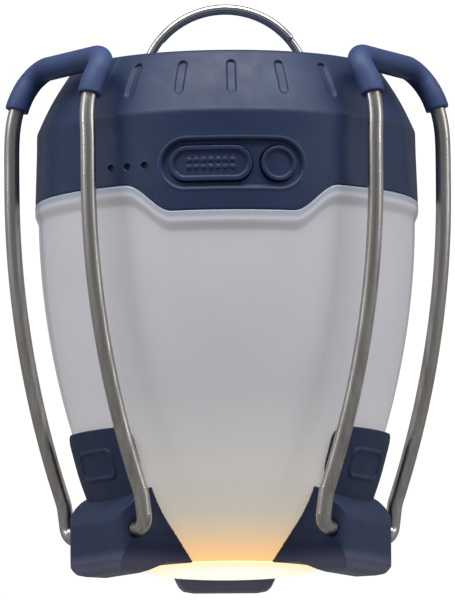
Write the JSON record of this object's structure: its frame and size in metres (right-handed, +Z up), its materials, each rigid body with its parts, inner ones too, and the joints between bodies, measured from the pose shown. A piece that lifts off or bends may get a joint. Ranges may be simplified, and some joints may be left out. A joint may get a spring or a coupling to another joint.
{
  "type": "camping lantern",
  "caption": "Battery camping lantern: a tapered frosted globe under a round head, with folding wire legs and a folding wire hanging loop.",
  "frame": {"origin": "midway between the flat feet of the three brackets, at their height", "axes": "+Z up along the globe's axis, buttons face -Y, +X to the right as the buttons are seen"},
  "size_m": [0.1104, 0.1004, 0.1434],
  "materials": {
    "navy_shell": "fine-grained moulded plastic",
    "navy_parts": "fine-grained moulded plastic",
    "navy_rubber": "soft satin rubber",
    "button_rubber": "soft satin rubber",
    "steel_wire": "drawn stainless wire",
    "hook_wire": "polished stainless wire",
    "frosted_globe": "frosted translucent plastic",
    "clear_lens": "milky diffuser",
    "inner_plastic": "white moulded plastic",
    "dark_plastic": "black moulded plastic",
    "gasket_rubber": "black silicone",
    "zinc_screws": "zinc-plated",
    "circuit_board": "solder mask",
    "cell_wrap": "shrink wrap",
    "contact_metal": "plated spring metal",
    "board_metal": "aluminium core board",
    "emitter": "phosphor coat",
    "optic": "clear optic",
    "indicator": "dark light pipe"
  },
  "bodies": {
    "housing": {"head_shell": "navy_shell", "top_dish": "navy_parts", "head_floor": "inner_plastic", "head_screws": "zinc_screws", "seal_ring": "gasket_rubber", "globe": "frosted_globe", "bottom_lens": "clear_lens", "bracket_left": "navy_parts", "bracket_right": "navy_parts", "bracket_rear": "navy_parts", "bracket_screws": "zinc_screws", "hook_block_left": "navy_parts", "hook_block_right": "navy_parts", "button_frame": "navy_parts", "indicator_lights": "indicator", "control_board": "circuit_board", "tact_switches": "dark_plastic", "battery_left": "cell_wrap", "battery_right": "cell_wrap", "battery_holder": "dark_plastic", "battery_contacts": "contact_metal", "usb_socket": "contact_metal", "port_pin": "zinc_screws", "led_board": "board_metal", "led_emitter": "emitter", "led_optic": "optic"},
    "leg_left": {"leg_left": "steel_wire", "sleeve_left": "navy_rubber"},
    "leg_right": {"leg_right": "steel_wire", "sleeve_right": "navy_rubber"},
    "leg_rear": {"leg_rear": "steel_wire", "sleeve_rear": "navy_rubber"},
    "hook_front": {"hook_front": "hook_wire"},
    "hook_rear": {"hook_rear": "hook_wire"},
    "power_button": {"power_button": "button_rubber"},
    "mode_button": {"mode_button": "button_rubber"},
    "port_cover": {"port_cover": "navy_rubber"}
  },
  "joints": [
    {"name": "leg_left_swing", "type": "hinge", "parent": "housing", "child": "leg_left", "pos_m": [-0.03066, -0.0177, 0.0102], "axis": [0.5, -0.866, 0], "range_deg": [0, 115]},
    {"name": "leg_right_swing", "type": "hinge", "parent": "housing", "child": "leg_right", "pos_m": [0.03066, -0.0177, 0.0102], "axis": [0.5, 0.866, 0], "range_deg": [0, 115]},
    {"name": "leg_rear_swing", "type": "hinge", "parent": "housing", "child": "leg_rear", "pos_m": [0, 0.0354, 0.0102], "axis": [-1, 0, 0], "range_deg": [0, 115]},
    {"name": "hook_front_fold", "type": "hinge", "parent": "housing", "child": "hook_front", "pos_m": [-0.0226, -0.0013, 0.1197], "axis": [1, 0, 0], "range_deg": [0, 90]},
    {"name": "hook_rear_fold", "type": "hinge", "parent": "housing", "child": "hook_rear", "pos_m": [0.0226, 0.0013, 0.1197], "axis": [-1, 0, 0], "range_deg": [0, 90]},
    {"name": "power_press", "type": "slide", "parent": "housing", "child": "power_button", "axis": [0, 1, 0], "range_m": [0, 0.0007], "stiffness_N_per_m": 1200, "springref_m": -0.0003},
    {"name": "mode_press", "type": "slide", "parent": "housing", "child": "mode_button", "axis": [0, 1, 0], "range_m": [0, 0.0007], "stiffness_N_per_m": 1200, "springref_m": -0.0003},
    {"name": "port_cover_swing", "type": "hinge", "parent": "housing", "child": "port_cover", "pos_m": [0.04434, 0.01188, 0.0962], "axis": [-0.2588, 0.9659, 0], "range_deg": [0, 90]}
  ]
}
